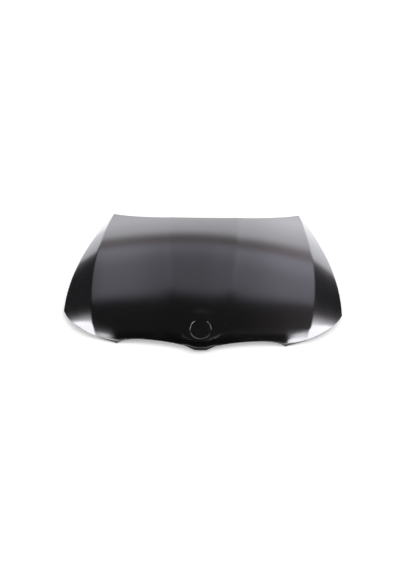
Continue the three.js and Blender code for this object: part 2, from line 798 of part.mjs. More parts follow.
const plateFoot = seatingClearance;
['right', 'left'].forEach((side, k) => {
  const hinge = hingePads[k];
  const hingeHoles = [-1, 1].map((end) => [0, end * hingeBoltSpacing / 2]);
  const hingeTop = plateFoot + hingePlateThickness;
  addPiece(`hinge_plate_${side}`, onPad(hinge, plateShape(hingePadWidth, hingePadLength,
    hingeHoles, hingeBoltHoleRadius), plateFoot, hingeTop), 'zinc');
  hingeHoles.forEach(([x, y], n) => {
    const nutFoot = hingeTop + seatingClearance;
    addPiece(`hinge_nut_${side}_${n + 1}`, onPad(hinge,
      nutShape(hingeNutAcross, hingeNutBore, x, y), nutFoot, nutFoot + hingeNutHeight), 'zinc');
  });
  const striker = strikerPads[k];
  const strikerHoles = [-1, 1].map((end) => [end * strikerBoltSpacing / 2, 0]);
  const strikerTop = plateFoot + strikerPlateThickness;
  addPiece(`striker_plate_${side}`, onPad(striker, plateShape(strikerPadWidth,
    strikerPadLength, strikerHoles, strikerBoltHoleRadius), plateFoot, strikerTop), 'zinc');
  strikerHoles.forEach(([x, y], n) => {
    const nutFoot = strikerTop + seatingClearance;
    addPiece(`striker_nut_${side}_${n + 1}`, onPad(striker,
      nutShape(strikerNutAcross, strikerNutBore, x, y), nutFoot,
      nutFoot + strikerNutHeight), 'zinc');
  });
});

const [middleLoop, ribLoop, , sideLoop] = cutouts;
const mirrorSpot = ({ spot, along }) => ({ spot: at(-spot.x, spot.y), along: at(-along.x, along.y) });
const ribSpots = masticSpots(ribLoop, 5);
const sideSpots = masticSpots(sideLoop, 4);
[
  ...masticSpots(middleLoop, 6),
  ...ribSpots,
  ...ribSpots.map(mirrorSpot),
  ...sideSpots,
  ...sideSpots.map(mirrorSpot),
].forEach(({ spot, along }, k) => {
  const number = String(k + 1).padStart(2, '0');
  addPiece(`mastic_pad_${number}`, masticPad(spot, along), 'mastic');
});

const bounds = new THREE.Box3().setFromObject(bonnet);
const centre = bounds.getCenter(new THREE.Vector3());
bonnet.position.set(-centre.x, -centre.y, -bounds.min.z);
bonnet.updateMatrixWorld(true);

export default bonnet;
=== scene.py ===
"""Car bonnet, dressed for the photograph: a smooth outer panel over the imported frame."""

import math

import bmesh
import bpy
from mathutils import Matrix, Vector


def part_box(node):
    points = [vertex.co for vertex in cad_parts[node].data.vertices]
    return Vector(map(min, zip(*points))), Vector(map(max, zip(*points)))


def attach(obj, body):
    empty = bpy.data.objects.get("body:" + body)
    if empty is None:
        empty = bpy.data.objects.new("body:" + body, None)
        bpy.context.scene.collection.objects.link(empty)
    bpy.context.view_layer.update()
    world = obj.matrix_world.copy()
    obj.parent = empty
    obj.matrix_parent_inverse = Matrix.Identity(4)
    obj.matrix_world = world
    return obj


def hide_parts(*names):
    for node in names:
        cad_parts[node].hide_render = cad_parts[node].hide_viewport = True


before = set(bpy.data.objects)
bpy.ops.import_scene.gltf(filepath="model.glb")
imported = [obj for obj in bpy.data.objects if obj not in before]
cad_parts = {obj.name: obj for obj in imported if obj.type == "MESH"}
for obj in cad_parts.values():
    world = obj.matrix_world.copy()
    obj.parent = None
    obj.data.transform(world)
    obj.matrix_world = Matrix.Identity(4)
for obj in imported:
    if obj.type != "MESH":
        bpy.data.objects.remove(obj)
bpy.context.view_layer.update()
MM = 0.001


# The camera that took the photograph, worked back from the outline of the panel

IMAGE_WIDTH = 400
IMAGE_HEIGHT = 570
FOCAL_PIXELS = 470.0
SENSOR = 36.0
NEAR_CLIP = 0.1
FAR_CLIP = 60.0
CAMERA_PLACE = Vector((74.2, -1926.6, 1964.1)) * MM
CAMERA_TARGET = Vector((-16.8, -84.9, 0.0)) * MM
CAMERA_ROLL = math.radians(1.22)


def place_camera():
    data = bpy.data.cameras.new("photo_camera")
    data.sensor_width = SENSOR
    data.lens = FOCAL_PIXELS * SENSOR / max(IMAGE_WIDTH, IMAGE_HEIGHT)
    data.clip_start = NEAR_CLIP
    data.clip_end = FAR_CLIP
    camera = bpy.data.objects.new("photo_camera", data)
    bpy.context.scene.collection.objects.link(camera)
    look = (CAMERA_TARGET - CAMERA_PLACE).to_track_quat("-Z", "Y").to_matrix().to_4x4()
    roll = Matrix.Rotation(-CAMERA_ROLL, 4, "Z")
    camera.matrix_world = Matrix.Translation(CAMERA_PLACE) @ look @ roll
    bpy.context.scene.camera = camera


# Sizes of the panel, in millimetres. Round the seat and along the raised middle it is
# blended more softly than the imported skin, as the reflections in the photograph ask.

PANEL_WIDTH = 1502.0
PANEL_LENGTH = 1104.0
CROWN_HEIGHT = 125.0
CROWN_PEAK_Y = 30.0
CROWN_REAR_RADIUS = 2000.0
CROWN_FRONT_RADIUS = 2700.0
ACROSS_RADIUS = 4400.0
ACROSS_FRONT_RADIUS = 5500.0
ACROSS_FRONT_START_Y = 200.0
ACROSS_FRONT_END_Y = -520.0
FACET_FRONT_SLOPE = 0.1
FACET_REAR_SLOPE = 0.34
FACET_FRONT_Y = -330.0
FACET_REAR_Y = 450.0
CREASE_SOFTNESS = 7.0
DOME_DROP = 5.0
DOME_REACH = 70.0
DOME_SOFTNESS = 11.0
DOME_FADE_START_Y = -460.0
DOME_FADE_END_Y = -100.0
LEAD_OVERRUN = 1.0
LEAD_SETBACK = 48.0
LEAD_SPREAD = 150.0
LEAD_POWER = 1.5
LEAD_LAMP_SETBACK = 34.0
LEAD_LAMP_SPREAD = 150.0
LEAD_LAMP_POWER = 1.3
ROLL_LENGTH = 92.0
ROLL_DROP = 50.0
ROLL_POWER = 4
SEAT_SETBACK = 87.0
SEAT_HEIGHT = 79.0
SEAT_TILT = 0.2
SEAT_FLAT_RADIUS = 56.0
SEAT_BLEND_RADIUS = 120.0
SEAT_RADIUS = 53.0
SEAT_DEPTH = 2.0
SEAT_LIP = 1.6
SEAT_WALL = 2.6
SKIN_THICKNESS = 0.8
HEM_RADIUS = 1.5
HEM_FLANGE = 11.5
NORMAL_STEP = 0.5
TABLE_REACH = 580
HALVINGS = 24


class Curve:
    """A cubic curve in plan through two ends, drawn towards two handles."""

    def __init__(self, *points):
        self.points = [Vector(point) for point in points]

    def at(self, t):
        a, b, c, d = self.points
        s = 1 - t
        return a * s**3 + b * 3 * s * s * t + c * 3 * s * t * t + d * t**3

    def find(self, value, part):
        """The point where x (part 0) or y (part 1) has a value."""
        low, high = 0.0, 1.0
        for _ in range(HALVINGS):
            middle = (low + high) / 2
            if self.at(middle)[part] < value:
                low = middle
            else:
                high = middle
        return self.at(low)


def plan(across, along):
    """A plan point from its shares of the half width and the half length."""
    return Vector((across * PANEL_WIDTH / 2, along * PANEL_LENGTH / 2))


NOSE_TIP = plan(0, -0.998)
NOSE_CORNER = plan(0.04, -0.993)
LAMP_CORNER = plan(0.573, -0.917)
SIDE_CORNER = plan(0.987, -0.583)
REAR_CORNER = plan(0.827, 1)
REAR_MIDDLE = plan(0, 0.754)
GRILLE_EDGE = Curve(NOSE_CORNER, plan(0.189, -0.908), plan(0.505, -0.88), LAMP_CORNER)
LAMP_EDGE = Curve(LAMP_CORNER, plan(0.694, -0.873), plan(0.88, -0.835), SIDE_CORNER)
SIDE_EDGE = Curve(SIDE_CORNER, plan(1.043, 0.069), plan(0.9, 0.554), REAR_CORNER)
REAR_EDGE = Curve(REAR_MIDDLE, plan(0.228, 0.754), plan(0.597, 0.793), REAR_CORNER)
CREASE_FRONT = plan(0.728, -0.859)
CREASE_REAR = plan(0.815, 0.987)
CREASE_LINE = Curve(CREASE_FRONT, plan(0.888, -0.078), plan(0.836, 0.19), CREASE_REAR)
DOME_FRONT = plan(0.164, -0.942)
DOME_REAR = plan(0.277, 0.775)
DOME_LINE = Curve(DOME_FRONT, plan(0.186, -0.37), plan(0.269, 0.203), DOME_REAR)
SEAT_Y = NOSE_TIP.y + SEAT_SETBACK
LEAD_NOSE_Y = NOSE_TIP.y - LEAD_OVERRUN


def smooth(value):
    """A soft step from 0 at value 0 to 1 at value 1."""
    t = min(1.0, max(0.0, value))
    return t * t * (3 - 2 * t)


def ramp(value, soft):
    """0 below 0 and the value itself above it, rounded over a soft width each way."""
    if value <= -soft:
        return 0.0
    if value >= soft:
        return value
    return (value + soft) ** 2 / (4 * soft)


def across_table(line):
    """The x of a line at each whole millimetre of y."""
    return [line.find(y, 1).x for y in range(-TABLE_REACH, TABLE_REACH + 1)]


CREASE_X = across_table(CREASE_LINE)
DOME_X = across_table(DOME_LINE)


def across_at(table, y):
    """The x of a line at any y, between two entries of its table."""
    place = min(max(y + TABLE_REACH, 0.0), len(table) - 1.001)
    low = int(place)
    return table[low] + (table[low + 1] - table[low]) * (place - low)


def crown_height(side, y):
    """The bowed shape of the panel, along it and across it."""
    along = y - CROWN_PEAK_Y
    radius = CROWN_REAR_RADIUS if along > 0 else CROWN_FRONT_RADIUS
    front = smooth((ACROSS_FRONT_START_Y - y) / (ACROSS_FRONT_START_Y - ACROSS_FRONT_END_Y))
    bend = (1 - front) / ACROSS_RADIUS + front / ACROSS_FRONT_RADIUS
    return CROWN_HEIGHT - along**2 / (2 * radius) - side**2 * bend / 2


def facet_drop(side, y):
    """How far the facet outside the crease falls away."""
    rear = smooth((y - FACET_FRONT_Y) / (FACET_REAR_Y - FACET_FRONT_Y))
    slope = FACET_FRONT_SLOPE + (FACET_REAR_SLOPE - FACET_FRONT_SLOPE) * rear
    return slope * ramp(side - across_at(CREASE_X, y), CREASE_SOFTNESS)


def dome_drop(side, y):
    """How far the panel lies lower outside its raised middle."""
    share = smooth((y - DOME_FADE_START_Y) / (DOME_FADE_END_Y - DOME_FADE_START_Y))
    outside = ramp(side - across_at(DOME_X, y), DOME_SOFTNESS)
    return DOME_DROP * share * (1 - math.exp(-outside / DOME_REACH))


def lead_drop(side, y):
    """How far the leading edge rolls down, behind the line of the nose and the lamps."""
    setback = LEAD_SETBACK * (1 - math.exp(-((side / LEAD_SPREAD) ** LEAD_POWER)))
    past_lamp = max(0.0, side - LAMP_CORNER.x) / LEAD_LAMP_SPREAD
    setback += LEAD_LAMP_SETBACK * (1 - math.exp(-(past_lamp**LEAD_LAMP_POWER)))
    rolled = max(0.0, LEAD_NOSE_Y + setback + ROLL_LENGTH - y)
    return ROLL_DROP * (rolled / ROLL_LENGTH) ** ROLL_POWER


def height(x, y):
    """Height of the outer surface, as the pressed panel has it."""
    side = abs(x)
    free = crown_height(side, y) - facet_drop(side, y) - dome_drop(side, y) - lead_drop(side, y)
    from_seat = math.hypot(x, y - SEAT_Y)
    flat = smooth((SEAT_BLEND_RADIUS - from_seat) / (SEAT_BLEND_RADIUS - SEAT_FLAT_RADIUS))
    seat = SEAT_HEIGHT + SEAT_TILT * (y - SEAT_Y)
    return free + (seat - free) * flat


def normal(x, y):
    """The way out of the outer surface."""
    step = NORMAL_STEP
    dx = (height(x + step, y) - height(x - step, y)) / (2 * step)
    dy = (height(x, y + step) - height(x, y - step)) / (2 * step)
    return Vector((-dx, -dy, 1)).normalized()


# The grid of the panel in plan: distances of its lines, close together at lips and creases

SEAT_LINES = [0, 11, 22, 32, 41, 47, 50, 51.4, 52.3, 53]
SEAT_LINES += [53.5, 54.3, 55.6, 57.6, 60.5, 65, 71, 78]
SEAT_HOLD = 62.0
SEAT_FREE = 84.0
SEAT_ROWS_AHEAD = 71.0
PAST_SEAT_LINES = [86, 95, 104, 114]
NOSE_ROWS = [0, 2, 4.5, 7.5, 11.5, 16]
REAR_ROW_GAP = 9.0
REAR_ROWS = 88
INNER_CREASE_LINES = [24, 18, 13, 9, 6, 3, 0]
OUTER_CREASE_LINES = [3, 6, 9, 13, 18, 25, 34]
MIDDLE_COLUMNS = 44
SIDE_COLUMNS_START = 44.0
SIDE_COLUMNS = 14
REAR_CREASE_SHARE = 0.921
REAR_TURN_START = 0.7
REAR_TURN_LENGTH = 0.3
WELD_DISTANCE = 0.01
FOLD_STEPS = 6
FLANGE_STEPS = (0.35, 0.7, 1.0)


def spread(start, end, count):
    """Even steps from start to end, with both."""
    return [start + (end - start) * k / count for k in range(count + 1)]


def front_point(x):
    """The point of the front edge at a distance from the middle line."""
    if x <= NOSE_CORNER.x:
        return NOSE_TIP.lerp(NOSE_CORNER, x / NOSE_CORNER.x)
    if x <= LAMP_CORNER.x:
        return GRILLE_EDGE.find(x, 0)
    return LAMP_EDGE.find(x, 0)


def column_ends():
    """For each column of the right half: its span, share, front and rear points."""
    dome, crease, side = DOME_FRONT.x, CREASE_FRONT.x, SIDE_CORNER.x
    near_seat = SEAT_LINES + PAST_SEAT_LINES + [dome]
    crowded = crease - INNER_CREASE_LINES[0]
    middle = [x for x in spread(dome, crease, MIDDLE_COLUMNS)[1:] if x < crowded]
    middle += [crease - off for off in INNER_CREASE_LINES]
    outside = [crease + off for off in OUTER_CREASE_LINES]
    outside += spread(crease + SIDE_COLUMNS_START, side, SIDE_COLUMNS)
    rear_crease = REAR_CREASE_SHARE * REAR_CORNER.x
    spans = [(0.0, dome, 0.0, DOME_REAR.x), (dome, crease, DOME_REAR.x, rear_crease)]
    spans.append((crease, side, rear_crease, REAR_CORNER.x))
    columns = []
    for number, xs in enumerate((near_seat, middle, outside)):
        low, high, rear_low, rear_high = spans[number]
        for x in xs:
            share = (x - low) / (high - low)
            rear_x = rear_low + (rear_high - rear_low) * share
            columns.append((number, share, front_point(x), REAR_EDGE.find(rear_x, 0)))
    return columns


def rail_point(number, t):
    """Where a row meets the middle line, the dome line, the crease or the side edge."""
    if number == 0:
        return NOSE_TIP.lerp(REAR_MIDDLE, t)
    if number == 1:
        return DOME_LINE.at(t)
    if number == 2:
        shift = CREASE_REAR.x - REAR_CREASE_SHARE * REAR_CORNER.x
        turned = smooth((t - REAR_TURN_START) / REAR_TURN_LENGTH)
        return CREASE_LINE.at(t) - Vector((shift * turned, 0))
    return SIDE_EDGE.at(t)


def row_shares():
    """Rows as shares of the way from the nose to the rear edge on the middle line."""
    length = REAR_MIDDLE.y - NOSE_TIP.y
    seat = SEAT_Y - NOSE_TIP.y
    ahead = [seat - off for off in reversed(SEAT_LINES) if off < SEAT_ROWS_AHEAD]
    behind = [seat + off for off in SEAT_LINES[1:]]
    rest = spread(behind[-1] + REAR_ROW_GAP, length, REAR_ROWS)
    shares = [y / length for y in NOSE_ROWS + ahead + behind + rest]
    return sorted(set(shares))


def plan_point(column, t):
    """A crossing of the grid, drawn between two rails and the front and rear edges."""
    number, share, front, rear = column
    low, high = rail_point(number, t), rail_point(number + 1, t)
    plain = low.lerp(high, share)
    ends = rail_point(number, 0).lerp(rail_point(number + 1, 0), share)
    rear_ends = rail_point(number, 1).lerp(rail_point(number + 1, 1), share)
    return plain + (front - ends) * (1 - t) + (rear - rear_ends) * t


def seat_pull(point, x_line, y_line):
    """Near the emblem seat the square grid turns into rings round its middle."""
    square = max(abs(x_line), abs(y_line))
    hold = smooth((SEAT_FREE - square) / (SEAT_FREE - SEAT_HOLD))
    if hold == 0:
        return point
    length = math.hypot(x_line, y_line)
    scale = square / length if length else 1.0
    ring = Vector((x_line * scale, SEAT_Y + y_line * scale))
    return point.lerp(ring, hold)


def seat_drop(radius):
    """Depth below the panel inside the emblem seat: lip, wall and flat floor."""
    return SEAT_DEPTH * smooth((SEAT_RADIUS + SEAT_LIP - radius) / SEAT_WALL)


def lay_out_grid(bm):
    """Makes the grid of the top surface and gives the place in plan of each vertex."""
    half = column_ends()
    shares = row_shares()
    columns = [(-1, column) for column in reversed(half[1:])] + [(1, column) for column in half]
    bmesh.ops.create_grid(bm, x_segments=len(columns) - 1, y_segments=len(shares) - 1, size=1)
    length = REAR_MIDDLE.y - NOSE_TIP.y
    places = {}
    for vert in bm.verts:
        side, column = columns[round((vert.co.x + 1) / 2 * (len(columns) - 1))]
        share = shares[round((vert.co.y + 1) / 2 * (len(shares) - 1))]
        x_line = column[2].x if column[0] == 0 else math.inf
        y_line = NOSE_TIP.y + share * length - SEAT_Y
        point = seat_pull(plan_point(column, share), x_line, y_line)
        places[vert] = Vector((point.x * side, point.y))
    return places


def build_panel():
    """The top surface with its seat, fold and hem flange, in metres."""
    bm = bmesh.new()
    places = lay_out_grid(bm)
    for vert, point in places.items():
        radius = math.hypot(point.x, point.y - SEAT_Y)
        vert.co = Vector((point.x, point.y, height(point.x, point.y)))
        if radius < SEAT_FLAT_RADIUS:
            vert.co -= normal(point.x, point.y) * seat_drop(radius)
    fold_hem(bm, places)
    bmesh.ops.remove_doubles(bm, verts=bm.verts, dist=WELD_DISTANCE)
    bmesh.ops.recalc_face_normals(bm, faces=bm.faces)
    bmesh.ops.scale(bm, vec=(MM, MM, MM), verts=bm.verts)
    fit_to_skin(bm)
    return bm


def fit_to_skin(bm):
    """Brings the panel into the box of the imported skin, top to top."""
    low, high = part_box("outer_skin")
    places = [vert.co for vert in bm.verts]
    own_low = Vector([min(place[k] for place in places) for k in range(3)])
    own_high = Vector([max(place[k] for place in places) for k in range(3)])
    shares = [min(1.0, (high[k] - low[k]) / (own_high[k] - own_low[k])) for k in range(2)]
    bmesh.ops.scale(bm, vec=(*shares, 1), verts=bm.verts)
    shift_y = (low.y + high.y) / 2 - shares[1] * (own_low.y + own_high.y) / 2
    bmesh.ops.translate(bm, vec=(0, shift_y, high.z - own_high.z), verts=bm.verts)


def inward_at_rim(rim, places):
    """For each vertex of the rim, the way in plan that points into the panel."""
    inward = {}
    for edge in rim:
        centre = edge.link_faces[0].calc_center_median()
        a, b = edge.verts
        along = (places[b] - places[a]).normalized()
        across = Vector((-along.y, along.x))
        if across.dot(centre.xy - places[a]) < 0:
            across = -across
        for vert in edge.verts:
            inward[vert] = inward.get(vert, Vector((0, 0))) + across
    return inward


def hem_starts(inward, places):
    """For each vertex of the rim: its place, the way up and the way in along the sheet."""
    starts = {}
    for vert, across in inward.items():
        up = normal(*places[vert])
        flat = across.normalized()
        rise = -(up.x * flat.x + up.y * flat.y) / up.z
        inner = Vector((flat.x, flat.y, rise)).normalized()
        starts[vert] = (vert.co.copy(), up, inner)
    return starts


def hem_steps():
    """The hem as ways down and in: half a turn of the fold, then the flat flange."""
    steps = []
    for k in range(1, FOLD_STEPS + 1):
        turn = k * math.pi / FOLD_STEPS
        steps.append((HEM_RADIUS * (math.cos(turn) - 1), -HEM_RADIUS * math.sin(turn)))
    return steps + [(-2 * HEM_RADIUS, HEM_FLANGE * share) for share in FLANGE_STEPS]


def fold_hem(bm, places):
    """Draws the open rim round the fold and back under the panel."""
    edges = [edge for edge in bm.edges if edge.is_boundary]
    starts = hem_starts(inward_at_rim(edges, places), places)
    for down, inwards in hem_steps():
        made = bmesh.ops.extrude_edge_only(bm, edges=edges)["geom"]
        verts = [item for item in made if isinstance(item, bmesh.types.BMVert)]
        edges = [item for item in made if isinstance(item, bmesh.types.BMEdge)]
        edges = [edge for edge in edges if edge.is_boundary]
        moved = {}
        for vert in verts:
            for edge in vert.link_edges:
                other = edge.other_vert(vert)
                if other in starts:
                    moved[vert] = starts[other]
        for vert, (start, up, inner) in moved.items():
            vert.co = start + up * down + inner * inwards
        starts = moved


def make_object(name, bm):
    """An object at the origin, smooth all over, with its place in its mesh."""
    mesh = bpy.data.meshes.new(name)
    for face in bm.faces:
        face.smooth = True
    bm.to_mesh(mesh)
    bm.free()
    piece = bpy.data.objects.new(name, mesh)
    bpy.context.scene.collection.objects.link(piece)
    return piece


def outer_panel():
    """The panel as one sheet, with a wall of the sheet's thickness."""
    piece = make_object("outer_panel", build_panel())
    wall = piece.modifiers.new("sheet", "SOLIDIFY")
    wall.thickness = SKIN_THICKNESS * MM
    wall.offset = -1
    wall.use_even_offset = False
    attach(piece, "root")
    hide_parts("outer_skin")
    piece.data.materials.append(gloss_coat())


def pressed_copy(node, name, finish, corner_degrees):
    """A CAD node with its loose triangles joined and its soft corners shaded smooth."""
    bm = bmesh.new()
    bm.from_mesh(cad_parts[node].data)
    bmesh.ops.remove_doubles(bm, verts=bm.verts, dist=WELD_DISTANCE * MM)
    limit = math.radians(corner_degrees)
    for edge in bm.edges:
        edge.smooth = edge.calc_face_angle(0) < limit
    piece = make_object(name, bm)
    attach(piece, "root")
    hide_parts(node)
    piece.data.materials.append(finish)


# Finishes

DUST_SCALE = 24.0
DUST_SIZE = 0.035
DUST_SHARE = 0.1
PEEL_DEPTH = 0.000012
RUN_DEPTH = 0.00002
SPANGLE_DEPTH = 0.00003
LUMP_DEPTH = 0.0003


class Value:
    """A number on a material's node tree that takes part in Python sums."""

    def __init__(self, finish, socket):
        self.finish = finish
        self.socket = socket

    def sum(self, operation, first, second):
        inputs = {0: first, 1: second}
        return self.finish.value("ShaderNodeMath", {"operation": operation}, inputs)

    def __add__(self, other):
        return self.sum("ADD", self, other)

    def __sub__(self, other):
        return self.sum("SUBTRACT", self, other)

    def __mul__(self, other):
        return self.sum("MULTIPLY", self, other)

    def __rsub__(self, other):
        return self.sum("SUBTRACT", other, self)

    def __gt__(self, other):
        return self.sum("GREATER_THAN", self, other)

    def __lt__(self, other):
        return self.sum("LESS_THAN", self, other)

    def __abs__(self):
        return self.sum("ABSOLUTE", self, 0.0)

    def between(self, low, high):
        """A soft step from 0 at low to 1 at high."""
        settings = {"interpolation_type": "SMOOTHSTEP"}
        return self.finish.value("ShaderNodeMapRange", settings, {0: self, 1: low, 2: high})

    __radd__ = __add__
    __rmul__ = __mul__


class Finish:
    """The node tree of a material or of the world, filled through one method."""

    def __init__(self, tree):
        self.tree = tree
        tree.nodes.clear()

    def node(self, kind, settings=None, inputs=None):
        """Adds a node, sets it up, then fills or links its sockets."""
        node = self.tree.nodes.new(kind)
        for key, value in (settings or {}).items():
            setattr(node, key, value)
        for key, value in (inputs or {}).items():
            value = value.socket if isinstance(value, Value) else value
            if isinstance(value, bpy.types.NodeSocket):
                self.tree.links.new(value, node.inputs[key])
            else:
                node.inputs[key].default_value = value
        return node

    def value(self, kind, settings=None, inputs=None):
        """The first output of a new node, for use in sums."""
        return Value(self, self.node(kind, settings, inputs).outputs[0])

    def noise(self, scale, detail=2.0, roughness=0.5, stretch=None):
        place = self.node("ShaderNodeTexCoord").outputs["Object"]
        if stretch:
            scaling = self.node("ShaderNodeMapping", None, {"Vector": place, "Scale": stretch})
            place = scaling.outputs[0]
        inputs = {"Vector": place, "Scale": scale, "Detail": detail, "Roughness": roughness}
        return self.value("ShaderNodeTexNoise", None, inputs)

    def mix(self, share, first, second):
        settings = {"data_type": "RGBA"}
        inputs = {"Factor": share, 6: first, 7: second}
        return self.node("ShaderNodeMix", settings, inputs).outputs[2]

    def tinted(self, level, tint):
        inputs = {0: tint, "Scale": level}
        return self.node("ShaderNodeVectorMath", {"operation": "SCALE"}, inputs).outputs[0]

    def plus(self, first, second):
        inputs = {0: first, 1: second}
        return self.node("ShaderNodeVectorMath", {"operation": "ADD"}, inputs).outputs[0]

    def bump(self, amount, distance):
        inputs = {"Height": amount, "Distance": distance, "Strength": 1.0}
        return self.node("ShaderNodeBump", None, inputs).outputs[0]

    def end(self, inputs):
        shader = self.node("ShaderNodeBsdfPrincipled", None, inputs)
        self.node("ShaderNodeOutputMaterial", None, {"Surface": shader.outputs[0]})


def new_finish(name):
    material = bpy.data.materials.new(name)
    material.use_nodes = True
    return material, Finish(material.node_tree)


def grey(level, warm=0.0):
    """A plain grey, or one a share warmer in red and colder in blue."""
    return (level * (1 + warm), level, level * (1 - warm), 1)


def gloss_coat():
    """Black dip coat on the outer panel: glossy, with fine peel and a little dust."""
    material, finish = new_finish("gloss_coat")
    cloud = finish.noise(scale=5.0, detail=3.0)
    peel = finish.noise(scale=620.0)
    wipes = finish.noise(scale=34.0, detail=3.0, roughness=0.6, stretch=(1.0, 6.0, 1.0))
    place = finish.node("ShaderNodeTexCoord").outputs["Object"]
    inputs = {"Scale": DUST_SCALE, "Vector": place}
    cells = finish.node("ShaderNodeTexVoronoi", {"feature": "F1"}, inputs)
    near = Value(finish, cells.outputs["Distance"])
    chance = finish.value("ShaderNodeSeparateColor", None, {0: cells.outputs["Color"]})
    dust = (near < DUST_SIZE) * (chance > 1 - DUST_SHARE)
    black = finish.mix(cloud, grey(0.003), grey(0.005))
    finish.end({
        "Base Color": finish.mix(dust, black, grey(0.1, 0.05)),
        "Roughness": 0.12 + 0.05 * cloud + 0.03 * wipes + 0.4 * dust,
        "Coat Weight": 1.0,
        "Coat Roughness": 0.08,
        "Normal": finish.bump(peel, PEEL_DEPTH),
    })
    return material


def dip_coat():
    """Satin black dip coat inside, with runs and patches of duller haze."""
    material, finish = new_finish("dip_coat")
    cloud = finish.noise(scale=9.0, detail=4.0)
    grain = finish.noise(scale=900.0)
    runs = finish.noise(scale=40.0, stretch=(1.0, 0.2, 1.0))
    finish.end({
        "Base Color": finish.mix(cloud, grey(0.012), grey(0.024)),
        "Roughness": 0.34 + 0.16 * cloud + 0.08 * runs,
        "Normal": finish.bump(grain + 0.4 * runs, RUN_DEPTH),
    })
    return material


def zinc_plate():
    """Zinc on the plates and nuts, with fine spangle and a yellowish stain."""
    material, finish = new_finish("zinc_plate")
    spangle = finish.noise(scale=260.0, detail=3.0)
    stain = finish.noise(scale=45.0, detail=3.0)
    finish.end({
        "Base Color": finish.mix(stain, (0.55, 0.53, 0.47, 1), (0.72, 0.71, 0.68, 1)),
        "Metallic": 0.9,
        "Roughness": 0.28 + 0.2 * spangle,
        "Normal": finish.bump(spangle, SPANGLE_DEPTH),
    })
    return material


def cured_mastic():
    """Matt, lumpy mastic between the ribs and the skin."""
    material, finish = new_finish("cured_mastic")
    lumps = finish.noise(scale=180.0, detail=4.0, roughness=0.6)
    finish.end({
        "Base Color": finish.mix(lumps, grey(0.02, 0.03), grey(0.06, 0.03)),
        "Roughness": 0.7 + 0.2 * lumps,
        "Normal": finish.bump(lumps, LUMP_DEPTH),
    })
    return material


# The studio that the gloss mirrors: levels of light, and edges in degrees of lean. The
# strips' sides and end are shares of the way from straight ahead to the side.

PLAIN_LIGHT = 0.78
NEUTRAL = (0.985, 0.985, 1.04)
COOL = (0.965, 0.945, 1.11)
WARM = (1.09, 0.95, 1.0)
WALL_LEVEL = 2.08
WALL_TOP = (30, 9.4, 11.5, -11.8, -87)
WALL_EDGE = (-4, 2.5)
GAP_LEVEL = 0.43
GAP_EDGE = (3.5, 8)
OVERHEAD_LEVEL = 0.62
OVERHEAD_END = (57.5, 63.5)
DARK_LEVEL = 0.04
DARK_START = (50, 62)
DARK_END = (104, 150)
STRIP_LEVEL = 12.4
STRIP_START = (58.5, 70)
LEFT_STRIP_EDGE = (0.53, 0.59)
RIGHT_STRIP_EDGE = (0.465, 0.535)
STRIP_END = (0.66, 0.74)


class Outlook:
    """A direction in which the gloss looks: how far to a side, and how far it leans.

    The lean is 0 degrees when level to the rear, 90 overhead and 180 level to the front.
    """

    def __init__(self, finish):
        place = finish.node("ShaderNodeTexCoord").outputs["Generated"]
        ways = finish.node("ShaderNodeSeparateXYZ", None, {0: place})
        self.right, back, up = [Value(finish, socket) for socket in ways.outputs]
        self.left = 0 - self.right
        self.reach = abs(self.right)
        lean = up.sum("ARCTAN2", up, back) * (180 / math.pi)
        self.lean = lean + 360 * (lean < -90)
        top = WALL_TOP[-1]
        for share in reversed(WALL_TOP[:-1]):
            top = share + self.right * top
        self.above_wall = self.lean - top


def light_wall(look):
    """A light wall behind the panel, dimmer low down in its middle."""
    right, reach = look.right, look.reach
    level = WALL_LEVEL + 0.55 * right.between(0.08, 0.28) + 0.25 * right.between(0.4, 0.5)
    low = 1 - look.lean.between(3, 17)
    dimmed = level * (1 - 0.38 * low * (1 - reach.between(0.4, 0.46)))
    return dimmed * (1 - look.above_wall.between(*WALL_EDGE))


def wall_gap(look):
    """The dim, reddish gap between the top of the wall and the light overhead."""
    level = GAP_LEVEL + 0.5 * look.right.between(0.06, 0.38) + 0.14 * look.left.between(0.15, 0.35)
    gap = level * look.above_wall.between(*WALL_EDGE) * (1 - look.above_wall.between(*GAP_EDGE))
    return gap * (1 - 0.7 * look.reach.between(0.45, 0.6))


def overhead_light(look):
    """An even light overhead, brighter along the gap and towards both sides."""
    right, reach, above = look.right, look.reach, look.above_wall
    level = OVERHEAD_LEVEL + 0.29 * look.left.between(0.18, 0.31)
    level = level + 0.1 * right.between(-0.02, 0.03) + 0.52 * right.between(0.1, 0.3)
    light = level * (1.4 - 0.4 * above.between(9, 17)) * above.between(*GAP_EDGE)
    light = light * (1 - (look.lean + 13 * reach).between(*OVERHEAD_END))
    return light * (1 - 0.93 * reach.between(0.38, 0.52))


def dark_front(look):
    """The dark studio in front, a little lighter to the right."""
    level = DARK_LEVEL + 0.22 * look.right.between(0.1, 0.45)
    return level * look.lean.between(*DARK_START) * (1 - look.lean.between(*DARK_END))


def side_strips(look):
    """A bright strip at each side, from high up at the rear over and down to the front."""
    lean = look.lean
    left = (look.left + 0.04 * lean.between(130, 170)).between(*LEFT_STRIP_EDGE)
    turned = 0.04 * lean.between(75, 95) + 0.06 * lean.between(150, 180)
    right = (look.right + turned).between(*RIGHT_STRIP_EDGE)
    strips = (left + right) * lean.between(*STRIP_START)
    return STRIP_LEVEL * strips * (1 - look.reach.between(*STRIP_END))


def mirrored_studio(finish):
    """What the gloss mirrors in each direction."""
    look = Outlook(finish)
    plain = finish.tinted(light_wall(look) + side_strips(look), NEUTRAL)
    cool = finish.tinted(overhead_light(look), COOL)
    warm = finish.tinted(wall_gap(look) + dark_front(look), WARM)
    return finish.plus(finish.plus(plain, cool), warm)


